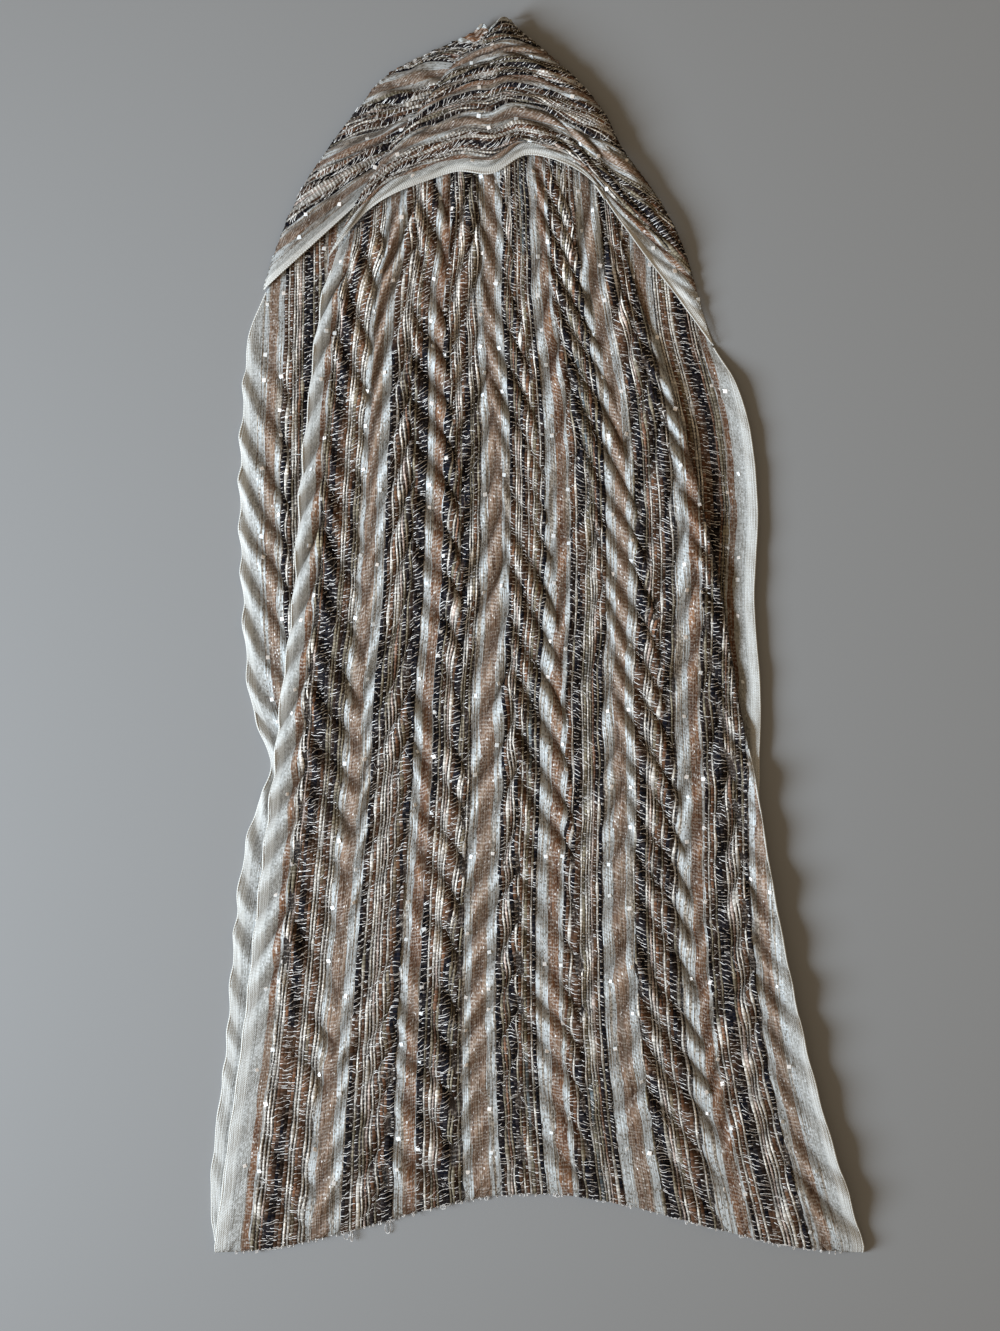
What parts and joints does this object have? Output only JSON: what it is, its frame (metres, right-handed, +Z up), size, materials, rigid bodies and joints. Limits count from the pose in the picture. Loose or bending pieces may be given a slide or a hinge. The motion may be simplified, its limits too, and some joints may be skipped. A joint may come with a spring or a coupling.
{
  "type": "infinity scarf",
  "caption": "Sheer striped infinity scarf with chevron pleats, laid flat as a long flattened loop with a half turn at its top.",
  "frame": {"origin": "on the table, at the middle of the outline's length and width", "axes": "+Y lengthwise towards the turned top, +X to the right seen from above, +Z up from the table"},
  "size_m": [0.4229, 0.8, 0.0166],
  "materials": {
    "back_panel": "sheer striped weave with off-white selvedges, matt with a little glitter",
    "front_panel": "sheer weave in navy, brown, copper, grey and cream stripes, chevron pleated",
    "left_turn": "sheer striped weave, off-white lower edge",
    "right_turn": "sheer striped weave, gathered, white lower edge",
    "inner_fold": "hidden gathered cloth"
  },
  "bodies": {
    "root": {"back_panel": "back_panel", "front_panel": "front_panel", "left_turn": "left_turn", "right_turn": "right_turn", "inner_fold": "inner_fold"}
  },
  "joints": []
}
